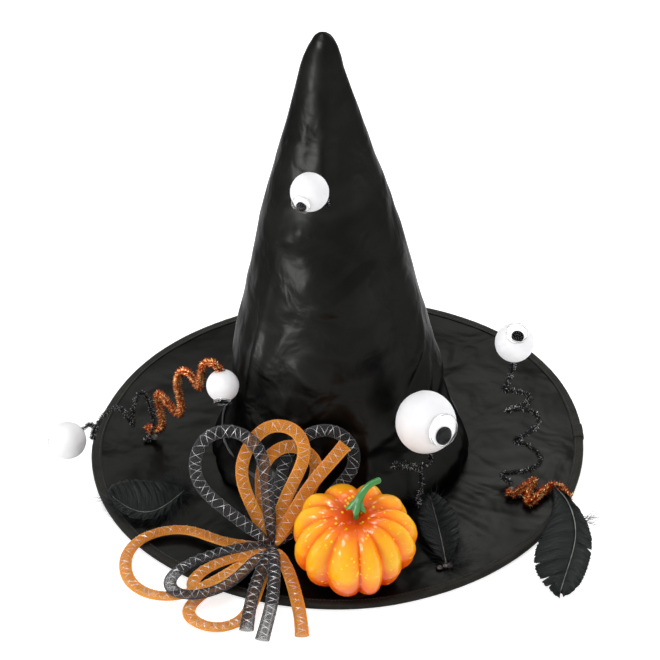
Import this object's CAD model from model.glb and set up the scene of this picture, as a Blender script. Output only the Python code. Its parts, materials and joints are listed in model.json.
"""Witch hat in black satin, with a mesh-tube bow, a pumpkin, feathers and googly eyes on tinsel springs.

Every piece is a surface worked out in millimetres from the frame's own boxes and written to its mesh in metres.
"""

import json
import math

import bpy
import numpy as np
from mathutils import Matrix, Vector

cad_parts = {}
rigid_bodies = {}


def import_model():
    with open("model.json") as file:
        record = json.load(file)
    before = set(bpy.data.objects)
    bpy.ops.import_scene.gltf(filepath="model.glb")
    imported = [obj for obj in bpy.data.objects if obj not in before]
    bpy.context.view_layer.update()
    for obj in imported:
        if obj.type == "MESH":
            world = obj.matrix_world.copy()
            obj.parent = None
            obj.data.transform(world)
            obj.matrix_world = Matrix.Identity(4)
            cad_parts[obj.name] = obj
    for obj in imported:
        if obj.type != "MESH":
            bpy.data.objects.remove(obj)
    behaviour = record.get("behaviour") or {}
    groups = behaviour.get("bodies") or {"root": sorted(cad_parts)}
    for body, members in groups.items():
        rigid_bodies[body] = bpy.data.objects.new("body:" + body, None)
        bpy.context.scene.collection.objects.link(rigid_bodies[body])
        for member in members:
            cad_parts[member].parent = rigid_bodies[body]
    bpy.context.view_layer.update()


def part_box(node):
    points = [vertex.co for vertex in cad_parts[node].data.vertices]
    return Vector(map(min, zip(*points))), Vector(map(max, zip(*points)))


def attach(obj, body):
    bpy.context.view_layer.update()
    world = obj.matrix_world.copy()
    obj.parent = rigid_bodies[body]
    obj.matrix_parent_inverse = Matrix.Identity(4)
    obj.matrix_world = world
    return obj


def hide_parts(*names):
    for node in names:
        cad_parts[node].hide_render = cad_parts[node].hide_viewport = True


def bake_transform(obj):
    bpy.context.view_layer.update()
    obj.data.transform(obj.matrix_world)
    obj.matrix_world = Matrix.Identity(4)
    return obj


bl_info = {
    "name": "Witch hat",
    "version": (1, 0, 0),
    "blender": (4, 5, 0),
    "location": "3D View > Sidebar > Witch hat",
    "description": "Builds the cloth, trimmings and eyes of a satin witch hat",
    "category": "Object",
}

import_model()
DICE = 4210
MM = 1000
EYES = ("crown", "left", "far_left", "right", "front")
UP = np.array((0.0, 0.0, 1.0))


# ---------------------------------------------------------------- boxes, colours and small sums

def box(node):
    """A node's lowest and highest corner in millimetres."""
    low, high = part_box(node)
    return np.array(low) * MM, np.array(high) * MM


def middle(node):
    low, high = box(node)
    return (low + high) / 2


def linear(colour, alpha=1.0):
    """An sRGB hex colour such as 1a1a18 as linear light."""
    parts = np.array([int(colour[at:at + 2], 16) for at in (0, 2, 4)]) / 255
    light = np.where(parts <= 0.04045, parts / 12.92, ((parts + 0.055) / 1.055) ** 2.4)
    return (*light.tolist(), alpha)


def unit(vectors):
    return vectors / np.maximum(np.linalg.norm(vectors, axis=-1, keepdims=True), 1e-12)


def hill(distance):
    """A round bump that is 1 in the middle and nearly 0 two widths away."""
    return np.exp(-distance ** 2)


def apart(angle, centre):
    """How far an angle is from a centre, the short way round, in degrees."""
    return (angle - centre + 180) % 360 - 180


def ripple(points, wavelength, seed, terms=14):
    """Smooth noise near -1 to 1: a sum of sine waves in random directions, each bent a little by the one before."""
    dice = np.random.default_rng(seed)
    total = np.zeros(points.shape[:-1])
    bend = np.zeros(points.shape[:-1])
    for _ in range(terms):
        way = unit(dice.normal(size=3)) * (2 * math.pi / wavelength) * dice.uniform(0.6, 1.5)
        wave = np.sin(points @ way + dice.uniform(0, 2 * math.pi) + 1.1 * bend)
        total += wave
        bend = wave
    return total / math.sqrt(terms)


# ---------------------------------------------------------------- what a user may change

def length(name, description, default, low, high):
    """A size in metres that shows in the scene's own unit."""
    return bpy.props.FloatProperty(name=name, description=description, default=default, min=low, max=high,
                                   subtype="DISTANCE", unit="LENGTH", precision=4)


def colour(name, description, default):
    """A colour given as sRGB hex."""
    return bpy.props.FloatVectorProperty(name=name, description=description, default=linear(default), size=4,
                                         min=0.0, max=1.0, subtype="COLOR")


class WitchHatSizes(bpy.types.PropertyGroup):
    """The sizes of the cloth's folds and of the trimmings"""
    brim_wave: length("Brim wave", "How far the brim's edge rises off the table", 0.002, 0.0, 0.008)
    satin_crumple: length("Satin crumple", "Depth of the soft dents in the crown's satin", 0.0044, 0.0, 0.01)
    crown_folds: bpy.props.FloatProperty(name="Crown folds", description="Strength of the crown's folds and gathers",
                                         default=1.0, min=0.0, max=1.5, subtype="FACTOR")
    stitch_spacing: length("Stitch spacing", "From one stitch of the binding to the next", 0.0027, 0.0015, 0.006)
    pumpkin_width: length("Pumpkin width", "Across the pumpkin's widest lobes", 0.0868, 0.07, 0.09)
    pumpkin_height: length("Pumpkin height", "Along the pumpkin's own axis, without its stem", 0.071, 0.05, 0.075)
    pumpkin_lobes: bpy.props.IntProperty(name="Pumpkin lobes", description="How many lobes go round the pumpkin",
                                         default=12, min=7, max=18)
    tube_width: length("Tube width", "Width of the flattened mesh tubes", 0.009, 0.005, 0.012)
    silver_pitch: length("Silver pitch", "Length of one zigzag of the silver thread", 0.013, 0.006, 0.03)
    orange_fringe: length("Orange tinsel", "Length of the copper tinsel's foil", 0.0038, 0.001, 0.006)
    black_fringe: length("Black tinsel", "Length of the black tinsel's foil", 0.0028, 0.001, 0.006)


class WitchHatColours(bpy.types.PropertyGroup):
    """The colours of the cloth and of the trimmings"""
    satin: colour("Crown satin", "The crown's satin where it catches the light", "232322")
    brim: colour("Brim satin", "The brim's satin where it catches the light", "1e1e1d")
    tape: colour("Binding tape", "The tape round the brim's edge", "262520")
    pumpkin: colour("Pumpkin", "The pumpkin's lobes", "ffc814")
    valley: colour("Pumpkin valleys", "The funnel, the valleys and the foot of the pumpkin", "e24505")
    stem: colour("Stem", "The pumpkin's stem", "3f8a42")
    orange_tube: colour("Orange tube", "The orange mesh tube", "ffae3e")
    black_tube: colour("Black tube", "The black mesh tube", "2c2c30")
    copper: colour("Copper tinsel", "The copper tinsel's foil", "b9430b")
    ball: colour("Eye balls", "The pressed foam of the eyes", "f8f8fa")
    feather: colour("Feathers", "The feathers' vanes", "151b1a")


def sizes():
    return bpy.context.scene.witch_hat_sizes


def darker(shade, share):
    """A linear colour brought down to that share of its light."""
    return (*(value * share for value in tuple(shade)[:3]), 1.0)


# ---------------------------------------------------------------- surfaces

def patch(points, across=True, along=False, first=False, last=False):
    """Faces between each grid point and its next; across and along join the last back to the first.

    first and last close that end with a fan round the middle of its row.
    """
    rows, columns = points.shape[:2]
    index = np.arange(rows * columns).reshape(rows, columns)
    walk = np.vstack([index, index[:1]]) if along else index
    walk = np.hstack([walk, walk[:, :1]]) if across else walk
    quads = np.stack([walk[:-1, :-1], walk[:-1, 1:], walk[1:, 1:], walk[1:, :-1]], axis=-1).reshape(-1, 4)
    corners, fans = [points.reshape(-1, 3)], []
    for wanted, row, turn in ((first, 0, (0, 2, 1)), (last, -1, (0, 1, 2))):
        if wanted:
            ring = index[row]
            centre = np.full_like(ring, rows * columns + len(fans))
            fans.append(np.stack([centre, ring, np.roll(ring, -1)], axis=1)[:, turn])
            corners.append(points[row].mean(axis=0)[None])
    return np.vstack(corners), quads, np.vstack(fans) if fans else np.zeros((0, 3), int)


def repeated(shape, quads, places, frames):
    """One small closed shape set at many places: each corner times that place's three directions."""
    corners = places[:, None, :] + np.einsum("kc,ncd->nkd", shape, frames) if shape.ndim == 2 else \
        places[:, None, :] + np.einsum("nkc,ncd->nkd", shape, frames)
    count, size = corners.shape[:2]
    faces = (np.asarray(quads)[None] + size * np.arange(count)[:, None, None]).reshape(-1, len(quads[0]))
    empty = np.zeros((0, 3 if faces.shape[1] == 4 else 4), int)
    pair = (faces, empty) if faces.shape[1] == 4 else (empty, faces)
    return corners.reshape(-1, 3), pair[0], pair[1]


def volume(corners, quads, fans):
    """Six times the volume inside the faces, which is above 0 when they face outwards."""
    halves = np.vstack([quads[:, (0, 1, 2)], quads[:, (0, 2, 3)], fans])
    a, b, c = (corners[halves[:, side]] for side in range(3))
    return float((a * np.cross(b, c)).sum())


def make_piece(name, patches, materials, body, replaces=(), which=None, marks=None):
    """Write patches to one mesh in metres, outwards, ride it on its body and let it stand for its nodes.

    which gives each patch's material, and marks a number for every corner, by name.
    """
    corners, starts, faces, looks = [], 0, [], []
    for number, (spots, quads, fans) in enumerate(patches):
        centred = spots - spots.mean(axis=0)
        if volume(centred, quads, fans) < 0:
            quads, fans = quads[:, ::-1], fans[:, ::-1]
        corners.append(spots)
        faces += [(quads + starts), (fans + starts)]
        looks += [(which[number] if which else 0)] * (len(quads) + len(fans))
        starts += len(spots)
    faces = [part for part in faces if len(part)]
    sizes = np.concatenate([np.full(len(part), part.shape[1]) for part in faces])
    mesh = bpy.data.meshes.new(name)
    mesh.vertices.add(starts)
    mesh.vertices.foreach_set("co", (np.vstack(corners) * 0.001).ravel())
    mesh.loops.add(int(sizes.sum()))
    mesh.polygons.add(len(sizes))
    mesh.polygons.foreach_set("loop_start", np.concatenate([[0], np.cumsum(sizes)[:-1]]).astype(np.int32))
    mesh.polygons.foreach_set("vertices", np.concatenate([part.ravel() for part in faces]).astype(np.int32))
    mesh.polygons.foreach_set("material_index", np.array(looks, dtype=np.int32))
    mesh.polygons.foreach_set("use_smooth", np.ones(len(sizes), dtype=bool))
    mesh.update(calc_edges=True)
    for mark, values in (marks or {}).items():
        layer = mesh.attributes.new(mark, "FLOAT", "POINT")
        layer.data.foreach_set("value", np.asarray(values, dtype=np.float32).ravel())
    for material in materials:
        mesh.materials.append(material)
    piece = bpy.data.objects.new(name, mesh)
    bpy.context.scene.collection.objects.link(piece)
    if body:
        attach(piece, body)
    if replaces:
        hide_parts(*replaces)
    return piece


# ---------------------------------------------------------------- lines and tubes

def even(line, count):
    """The same line with its points at equal steps."""
    step = np.concatenate([[0], np.cumsum(np.linalg.norm(np.diff(line, axis=0), axis=1))])
    at = np.linspace(0, step[-1], count)
    return np.stack([np.interp(at, step, line[:, axis]) for axis in range(3)], axis=1)


def spline(points, count):
    """A cubic B-spline led by the points, with its ends held on the first and the last."""
    held = np.array(points, dtype=float)
    held = np.vstack([held[:1], held[:1], held, held[-1:], held[-1:]])
    spans = len(held) - 3
    at = np.linspace(0, spans, 8 * count)
    left = np.minimum(at.astype(int), spans - 1)
    t = (at - left)[:, None]
    line = ((1 - t) ** 3 * held[left] + (3 * t ** 3 - 6 * t ** 2 + 4) * held[left + 1]
            + (-3 * t ** 3 + 3 * t ** 2 + 3 * t + 1) * held[left + 2] + t ** 3 * held[left + 3]) / 6
    return even(line, count)


def length_of(line):
    return float(np.linalg.norm(np.diff(line, axis=0), axis=1).sum())


def directions(line, facing):
    """Along, sideways and outwards at each point of a line, outwards staying nearest to facing."""
    along = unit(np.gradient(line, axis=0))
    side = unit(np.cross(along, np.broadcast_to(facing, line.shape)))
    return along, side, np.cross(side, along)


def tube(line, facing, radii, sides=8, flat=1.0):
    """A round or flattened tube: at each point of the line an ellipse of that radius, closed at both ends."""
    _, side, out = directions(line, facing)
    turn = np.linspace(0, 2 * math.pi, sides, endpoint=False)
    radii = np.broadcast_to(radii, len(line))[:, None, None]
    points = line[:, None] + radii * (np.cos(turn)[None, :, None] * side[:, None]
                                      + flat * np.sin(turn)[None, :, None] * out[:, None])
    return patch(points, first=True, last=True)


# ---------------------------------------------------------------- materials

def add(tree, kind, settings=None, links=None):
    """Add a node, set its inputs or properties by name, and link its inputs from (node, output)."""
    node = tree.nodes.new(kind)
    for key, value in (settings or {}).items():
        if key == "stops":
            band = node.color_ramp.elements
            while len(band) < len(value):
                band.new(0.5)
            for stop, (place, colour) in zip(band, value):
                stop.position, stop.color = place, colour
        elif isinstance(key, int) or key in node.inputs:
            node.inputs[key].default_value = value
        else:
            setattr(node, key, value)
    for key, (source, output) in (links or {}).items():
        tree.links.new(source.outputs[output], node.inputs[key])
    return node


def new_material(name, settings, build=None):
    """A Principled material; build(tree, surface) adds the nodes that vary over the surface."""
    material = bpy.data.materials.new(name)
    material.use_nodes = True
    tree = material.node_tree
    tree.nodes.clear()
    surface = add(tree, "ShaderNodeBsdfPrincipled", settings)
    add(tree, "ShaderNodeOutputMaterial", {}, {"Surface": (surface, 0)})
    if build:
        build(tree, surface)
    return material


def cloth_nodes(tree, surface, tones, roughness, crumple, weave):
    """Colour and gloss that drift over the cloth, with crumples over a weave.

    tones are two linear colours, roughness a low and a high, crumple (size mm, depth mm), weave (pitch mm, depth mm).
    """
    where = add(tree, "ShaderNodeTexCoord")
    drift = add(tree, "ShaderNodeTexNoise", {"Scale": MM / (crumple[0] * 2.4), "Detail": 3.0, "Distortion": 0.6},
                {"Vector": (where, "Object")})
    shade = add(tree, "ShaderNodeValToRGB", {"stops": [(0.3, tones[0]), (0.72, tones[1])]},
                {"Fac": (drift, "Fac")})
    tree.links.new(shade.outputs["Color"], surface.inputs["Base Color"])
    gloss = add(tree, "ShaderNodeMapRange", {"To Min": roughness[0], "To Max": roughness[1]},
                {"Value": (drift, "Fac")})
    tree.links.new(gloss.outputs["Result"], surface.inputs["Roughness"])
    folds = add(tree, "ShaderNodeTexNoise", {"Scale": MM / crumple[0], "Detail": 2.6, "Roughness": 0.42,
                                             "Distortion": 0.4}, {"Vector": (where, "Object")})
    soft = add(tree, "ShaderNodeBump", {"Strength": 1.0, "Distance": crumple[1] / MM}, {"Height": (folds, "Fac")})
    threads = add(tree, "ShaderNodeTexWave", {"Scale": MM / weave[0] / 20, "Distortion": 0.6, "Detail": 1.0,
                                              "bands_direction": "DIAGONAL"}, {"Vector": (where, "Object")})
    fine = add(tree, "ShaderNodeBump", {"Strength": 0.6, "Distance": weave[1] / MM},
               {"Height": (threads, "Fac"), "Normal": (soft, "Normal")})
    tree.links.new(fine.outputs["Normal"], surface.inputs["Normal"])


def make_materials():
    """Every finish of the hat, by a short name."""
    finish = {}
    paint = bpy.context.scene.witch_hat_colours
    crumple = MM * sizes().satin_crumple

    # Polyester satin, woven with long floats: near black, with broad soft lights that slide over the crumples.
    finish["satin"] = new_material("polyester_satin_black", {
        "Metallic": 1.0, "Specular Tint": (0.5, 0.5, 0.5, 1.0)},
        lambda tree, surface: cloth_nodes(tree, surface, (darker(paint.satin, 0.48), tuple(paint.satin)),
                                         (0.30, 0.40), (30.0, crumple), (0.8, 0.02)))

    # The same satin glued flat to foam on the brim: fewer crumples and a duller, even grey sheen.
    finish["brim_satin"] = new_material("polyester_satin_on_foam", {
        "Metallic": 1.0, "Specular Tint": (0.5, 0.5, 0.5, 1.0)},
        lambda tree, surface: cloth_nodes(tree, surface, (darker(paint.brim, 0.6), tuple(paint.brim)),
                                         (0.27, 0.42), (40.0, 3.6), (0.9, 0.02)))

    # Woven polyester bias tape: matte, ribbed across, a little browner than the satin.
    def tape(tree, surface):
        where = add(tree, "ShaderNodeAttribute", {"attribute_name": "around"})
        ribs = add(tree, "ShaderNodeMath", {"operation": "SINE", 0: 0.0}, {})
        scale = add(tree, "ShaderNodeMath", {"operation": "MULTIPLY", 1: 2 * math.pi / 1.4}, {0: (where, "Fac")})
        tree.links.new(scale.outputs[0], ribs.inputs[0])
        place = add(tree, "ShaderNodeTexCoord")
        drift = add(tree, "ShaderNodeTexNoise", {"Scale": 90.0, "Detail": 4.0}, {"Vector": (place, "Object")})
        shade = add(tree, "ShaderNodeValToRGB", {"stops": [(0.3, darker(paint.tape, 0.42)),
                                                           (0.75, tuple(paint.tape))]},
                    {"Fac": (drift, "Fac")})
        tree.links.new(shade.outputs["Color"], surface.inputs["Base Color"])
        puckers = add(tree, "ShaderNodeBump", {"Strength": 0.7, "Distance": 0.0006}, {"Height": (drift, "Fac")})
        bumps = add(tree, "ShaderNodeBump", {"Strength": 0.5, "Distance": 0.00008},
                    {"Height": (ribs, 0), "Normal": (puckers, "Normal")})
        tree.links.new(bumps.outputs["Normal"], surface.inputs["Normal"])
    finish["tape"] = new_material("woven_bias_tape", {"Roughness": 0.6, "IOR": 1.2}, tape)

    # Non-woven stiffener: dark, matte and faintly felted.
    finish["interlining"] = new_material("nonwoven_stiffener", {"IOR": 1.45},
        lambda tree, surface: cloth_nodes(tree, surface, (linear("1c1c1d"), linear("2c2c2d")),
                                         (0.8, 0.92), (7.0, 0.6), (1.6, 0.08)))

    # Open-cell polyurethane foam sheet, off-white.
    finish["foam_sheet"] = new_material("polyurethane_foam_sheet", {"IOR": 1.45},
        lambda tree, surface: cloth_nodes(tree, surface, (linear("d9d6c8"), linear("eceae0")),
                                         (0.85, 0.95), (3.0, 0.5), (1.2, 0.1)))

    # Grosgrain sweatband: matte and ribbed.
    finish["band"] = new_material("cotton_sweatband", {"IOR": 1.45, "Sheen Weight": 0.3},
        lambda tree, surface: cloth_nodes(tree, surface, (linear("161616"), linear("232323")),
                                         (0.75, 0.9), (12.0, 0.5), (1.4, 0.12)))

    # Sewing thread, polyester, twisted.
    finish["thread"] = new_material("polyester_sewing_thread", {"Base Color": linear("121211"), "Roughness": 0.5})

    # Galvanised millinery wire.
    def drawn(tree, surface):
        where = add(tree, "ShaderNodeTexCoord")
        scratch = add(tree, "ShaderNodeTexNoise", {"Scale": 700.0}, {"Vector": (where, "Object")})
        gloss = add(tree, "ShaderNodeMapRange", {"To Min": 0.25, "To Max": 0.5}, {"Value": (scratch, "Fac")})
        tree.links.new(gloss.outputs["Result"], surface.inputs["Roughness"])
    finish["wire"] = new_material("drawn_steel_wire", {"Base Color": linear("a5a6a8"), "Metallic": 1.0}, drawn)

    # The tinsel's core, lacquered black.
    finish["dark_wire"] = new_material("lacquered_steel_wire", {"Base Color": linear("1c1b1b"), "Metallic": 0.6},
                                       drawn)

    # Blow-moulded polystyrene with a sprayed lacquer: yellow-orange lobes, red-orange valleys, gold specks.
    def lacquer(tree, surface):
        where = add(tree, "ShaderNodeTexCoord")
        valley = add(tree, "ShaderNodeAttribute", {"attribute_name": "valley"})
        spray = add(tree, "ShaderNodeTexNoise", {"Scale": 60.0, "Detail": 5.0, "Roughness": 0.65},
                    {"Vector": (where, "Object")})
        both = add(tree, "ShaderNodeMath", {"operation": "MULTIPLY_ADD", 1: 0.32}, {0: (spray, "Fac"),
                                                                                   2: (valley, "Fac")})
        shade = add(tree, "ShaderNodeValToRGB", {"stops": [
            (0.08, tuple(paint.pumpkin)), (0.26, linear("ffa80a")), (0.50, linear("f87306")),
            (0.9, tuple(paint.valley))]},
            {"Fac": (both, 0)})
        specks = add(tree, "ShaderNodeTexVoronoi", {"Scale": 270.0, "Randomness": 1.0}, {"Vector": (where, "Object")})
        few = add(tree, "ShaderNodeTexNoise", {"Scale": 120.0}, {"Vector": (where, "Object")})
        near = add(tree, "ShaderNodeMapRange", {"From Min": 0.20, "From Max": 0.32, "To Min": 1.0, "To Max": 0.0},
                   {"Value": (specks, "Distance")})
        keep = add(tree, "ShaderNodeMapRange", {"From Min": 0.50, "From Max": 0.55}, {"Value": (few, "Fac")})
        mask = add(tree, "ShaderNodeMath", {"operation": "MULTIPLY"}, {0: (near, 0), 1: (keep, 0)})
        dotted = add(tree, "ShaderNodeMix", {"data_type": "RGBA", 7: linear("ffd21e")},
                     {0: (mask, 0), 6: (shade, "Color")})
        tree.links.new(dotted.outputs[2], surface.inputs["Base Color"])
        orange_peel = add(tree, "ShaderNodeBump", {"Strength": 0.25, "Distance": 0.0004}, {"Height": (spray, "Fac")})
        tree.links.new(orange_peel.outputs["Normal"], surface.inputs["Normal"])
    finish["pumpkin"] = new_material("lacquered_polystyrene_orange", {
        "Roughness": 0.45, "IOR": 1.25, "Specular IOR Level": 0.3, "Coat Weight": 0.6, "Coat Roughness": 0.14,
        "Coat IOR": 1.42}, lacquer)

    # Injection-moulded polyethylene stem: leaf green, darker in its flutes.
    def stalk(tree, surface):
        where = add(tree, "ShaderNodeTexCoord")
        flute = add(tree, "ShaderNodeAttribute", {"attribute_name": "flute"})
        mottle = add(tree, "ShaderNodeTexNoise", {"Scale": 260.0, "Detail": 4.0}, {"Vector": (where, "Object")})
        both = add(tree, "ShaderNodeMath", {"operation": "MULTIPLY_ADD", 1: 0.5}, {0: (mottle, "Fac"),
                                                                                  2: (flute, "Fac")})
        shade = add(tree, "ShaderNodeValToRGB", {"stops": [(0.2, darker(paint.stem, 0.26)),
                                                           (0.85, tuple(paint.stem))]},
                    {"Fac": (both, 0)})
        tree.links.new(shade.outputs["Color"], surface.inputs["Base Color"])
    finish["stem"] = new_material("moulded_polyethylene_green", {"Roughness": 0.3, "IOR": 1.45}, stalk)

    # Hot-melt glue: milky, half clear, with a soft skin.
    def melt(tree, surface):
        where = add(tree, "ShaderNodeTexCoord")
        skin = add(tree, "ShaderNodeTexNoise", {"Scale": 420.0, "Detail": 2.0}, {"Vector": (where, "Object")})
        bumps = add(tree, "ShaderNodeBump", {"Strength": 0.4, "Distance": 0.0005}, {"Height": (skin, "Fac")})
        tree.links.new(bumps.outputs["Normal"], surface.inputs["Normal"])
    finish["glue"] = new_material("hot_melt_glue", {"Base Color": linear("8d8676"), "Roughness": 0.3, "IOR": 1.48,
                                                    "Transmission Weight": 0.35}, melt)
    finish["dark_glue"] = new_material("hot_melt_glue_dark", {"Base Color": linear("1f0f0b"), "Roughness": 0.25,
                                                              "IOR": 1.48}, melt)

    # Nylon monofilament of the mesh tubes: each strand smooth and slightly clear.
    def strand(low, high):
        def build(tree, surface):
            where = add(tree, "ShaderNodeTexCoord")
            drift = add(tree, "ShaderNodeTexNoise", {"Scale": 120.0, "Detail": 2.0}, {"Vector": (where, "Object")})
            shade = add(tree, "ShaderNodeValToRGB", {"stops": [(0.3, low), (0.75, high)]},
                        {"Fac": (drift, "Fac")})
            tree.links.new(shade.outputs["Color"], surface.inputs["Base Color"])
        return build
    finish["mesh_orange"] = new_material("nylon_monofilament_orange", {
        "Roughness": 0.45, "IOR": 1.3, "Specular IOR Level": 0.4},
        strand(darker(paint.orange_tube, 0.9), tuple(paint.orange_tube)))

    # The weave between the strands, too fine to model: a sheer film of the same colour.
    for tone, shade, cover in (("orange", paint.orange_tube, 0.42), ("black", darker(paint.black_tube, 0.5), 0.2)):
        finish["sheer_" + tone] = new_material("nylon_sheer_" + tone, {
            "Roughness": 0.5, "IOR": 1.2, "Alpha": cover}, strand(darker(shade, 0.85), tuple(shade)))
    finish["mesh_black"] = new_material("nylon_monofilament_black", {"Roughness": 0.3, "IOR": 1.53},
                                        strand(darker(paint.black_tube, 0.3), tuple(paint.black_tube)))

    # Aluminised polyester film: the silver thread, and the cut fringe of the tinsel.
    def foil(base, light, few):
        def build(tree, surface):
            tint = add(tree, "ShaderNodeAttribute", {"attribute_name": "tint"})
            shade = add(tree, "ShaderNodeValToRGB", {"stops": [(0.0, darker(base, 0.4)), (few - 0.02, base),
                                                               (few, linear(light))]}, {"Fac": (tint, "Fac")})
            tree.links.new(shade.outputs["Color"], surface.inputs["Base Color"])
        return build
    finish["silver"] = new_material("aluminised_film_silver", {"Metallic": 0.75, "Roughness": 0.28},
                                    strand(linear("c9c9cc"), linear("ffffff")))
    finish["foil_orange"] = new_material("aluminised_film_copper", {"Metallic": 0.9, "Roughness": 0.28},
                                         foil(tuple(paint.copper), "ffd68c", 0.80))
    finish["foil_black"] = new_material("aluminised_film_black", {"Metallic": 0.9, "Roughness": 0.28},
                                        foil(linear("151517"), "f8f8fa", 0.93))

    # Expanded polystyrene ball pressed smooth: white, with the faint outlines of its beads.
    def beads(tree, surface):
        where = add(tree, "ShaderNodeTexCoord")
        cells = add(tree, "ShaderNodeTexVoronoi", {"Scale": 420.0, "feature": "DISTANCE_TO_EDGE"},
                    {"Vector": (where, "Object")})
        lines = add(tree, "ShaderNodeMapRange", {"From Max": 0.12}, {"Value": (cells, "Distance")})
        bumps = add(tree, "ShaderNodeBump", {"Strength": 0.18, "Distance": 0.0003}, {"Height": (lines, 0)})
        tree.links.new(bumps.outputs["Normal"], surface.inputs["Normal"])
        drift = add(tree, "ShaderNodeTexNoise", {"Scale": 55.0}, {"Vector": (where, "Object")})
        shade = add(tree, "ShaderNodeValToRGB", {"stops": [(0.3, darker(paint.ball, 0.92)),
                                                           (0.7, tuple(paint.ball))]},
                    {"Fac": (drift, "Fac")})
        tree.links.new(shade.outputs["Color"], surface.inputs["Base Color"])
    finish["ball"] = new_material("expanded_polystyrene", {"Roughness": 0.6, "IOR": 1.45,
                                                           "Subsurface Weight": 0.0}, beads)

    # Vacuum-formed PET dome, its white card disc and the loose black pupil.
    def scuffs(tree, surface):
        where = add(tree, "ShaderNodeTexCoord")
        marks = add(tree, "ShaderNodeTexNoise", {"Scale": 900.0, "Detail": 3.0}, {"Vector": (where, "Object")})
        gloss = add(tree, "ShaderNodeMapRange", {"To Min": 0.02, "To Max": 0.12}, {"Value": (marks, "Fac")})
        tree.links.new(gloss.outputs["Result"], surface.inputs["Roughness"])
    finish["dome"] = new_material("vacuum_formed_pet", {"Base Color": linear("ffffff"), "IOR": 1.14,
                                                        "Transmission Weight": 1.0}, scuffs)
    finish["disc"] = new_material("white_card_disc", {"Base Color": linear("e9e9ea"), "IOR": 1.45}, scuffs)
    finish["pupil"] = new_material("black_polystyrene_disc", {"Base Color": linear("070708"), "IOR": 1.16}, scuffs)

    # Dyed goose feather: black combed barbs with a cold green tint, and a pale quill.
    def combed(tree, surface):
        run = add(tree, "ShaderNodeAttribute", {"attribute_name": "barb"})
        where = add(tree, "ShaderNodeTexCoord")
        waver = add(tree, "ShaderNodeTexNoise", {"Scale": 120.0, "Detail": 3.0}, {"Vector": (where, "Object")})
        bent = add(tree, "ShaderNodeMath", {"operation": "MULTIPLY_ADD", 1: 2.4}, {0: (waver, "Fac"),
                                                                                 2: (run, "Fac")})
        scale = add(tree, "ShaderNodeMath", {"operation": "MULTIPLY", 1: 2 * math.pi / 1.1}, {0: (bent, 0)})
        wave = add(tree, "ShaderNodeMath", {"operation": "SINE"}, {0: (scale, 0)})
        shade = add(tree, "ShaderNodeValToRGB", {"stops": [(0.3, darker(paint.feather, 0.36)),
                                                           (0.75, tuple(paint.feather))]},
                    {"Fac": (waver, "Fac")})
        tree.links.new(shade.outputs["Color"], surface.inputs["Base Color"])
        bumps = add(tree, "ShaderNodeBump", {"Strength": 0.5, "Distance": 0.00016}, {"Height": (wave, 0)})
        tree.links.new(bumps.outputs["Normal"], surface.inputs["Normal"])
    finish["vane"] = new_material("goose_vane_black", {"Roughness": 0.36, "IOR": 1.2}, combed)
    finish["quill"] = new_material("goose_quill", {"Roughness": 0.4, "IOR": 1.4},
                                   strand(linear("5d5c57"), linear("a5a49c")))
    finish["down"] = new_material("marabou_down_black", {"Roughness": 0.6, "IOR": 1.25},
                                  strand(linear("131516"), linear("2b2e2f")))
    return finish


FINISH = {}


# ---------------------------------------------------------------- the brim

BRIM_TOP = box("brim_top_satin")[1][2]
BRIM_RADIUS = box("brim_binding")[1][0]
SEAM_RADIUS = 96.5
CROWN_TOP = box("crown_satin")[1][2]
TIP_X = -15.0
EDGE_DRIFT = ((-172, 2.1), (-152, 3.6), (-120, 2.0), (-89, 1.1), (-64, -2.0), (-43, -3.5), (-9, -4.0), (5, -1.5),
              (12, 0.9), (26, 4.4), (50, 4.2), (64, 1.6), (95, -0.5), (130, -2.4), (160, -2.4))


def edge_radius(turn):
    """The brim's outline in millimetres: a round whose radius drifts by hand-cut amounts, softly averaged."""
    angle = np.degrees(turn)
    pull = [hill(apart(angle, at) / 16) for at, _ in EDGE_DRIFT]
    drift = sum(weight * amount for weight, (_, amount) in zip(pull, EDGE_DRIFT)) / sum(pull)
    return BRIM_RADIUS + drift


def brim_lift(turn, share):
    """How far the brim stands off the table: a slow wave round it that grows to the edge, never below the table."""
    wave = 0.5 + 0.3 * np.sin(2 * turn + 0.6) + 0.2 * np.sin(3 * turn - 1.0)
    return MM * sizes().brim_wave * wave * share ** 2


def brim_spot(turn, radius, height):
    """A point of the brim from its turn, its radius on a true round and its height over the table."""
    share = np.clip((radius - SEAM_RADIUS) / (BRIM_RADIUS - SEAM_RADIUS), 0, 1)
    out = radius + (edge_radius(turn) - BRIM_RADIUS) * share
    return np.stack([out * np.cos(turn), out * np.sin(turn), height + brim_lift(turn, share)], axis=-1)


def cloth_ring(radii, low, high, puckers=None):
    """A closed flat ring of cloth: out along its upper face, over the edge and back along the lower one."""
    turn = np.linspace(0, 2 * math.pi, 540, endpoint=False)[:, None]
    out = np.concatenate([radii, radii[::-1]])
    height = np.concatenate([np.full(len(radii), high), np.full(len(radii), low)])[None]
    points = brim_spot(turn, np.broadcast_to(out[None], (540, len(out))), height)
    if puckers:
        points[..., 2] += puckers(turn, out[None])
    return patch(points, across=True, along=True)


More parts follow.
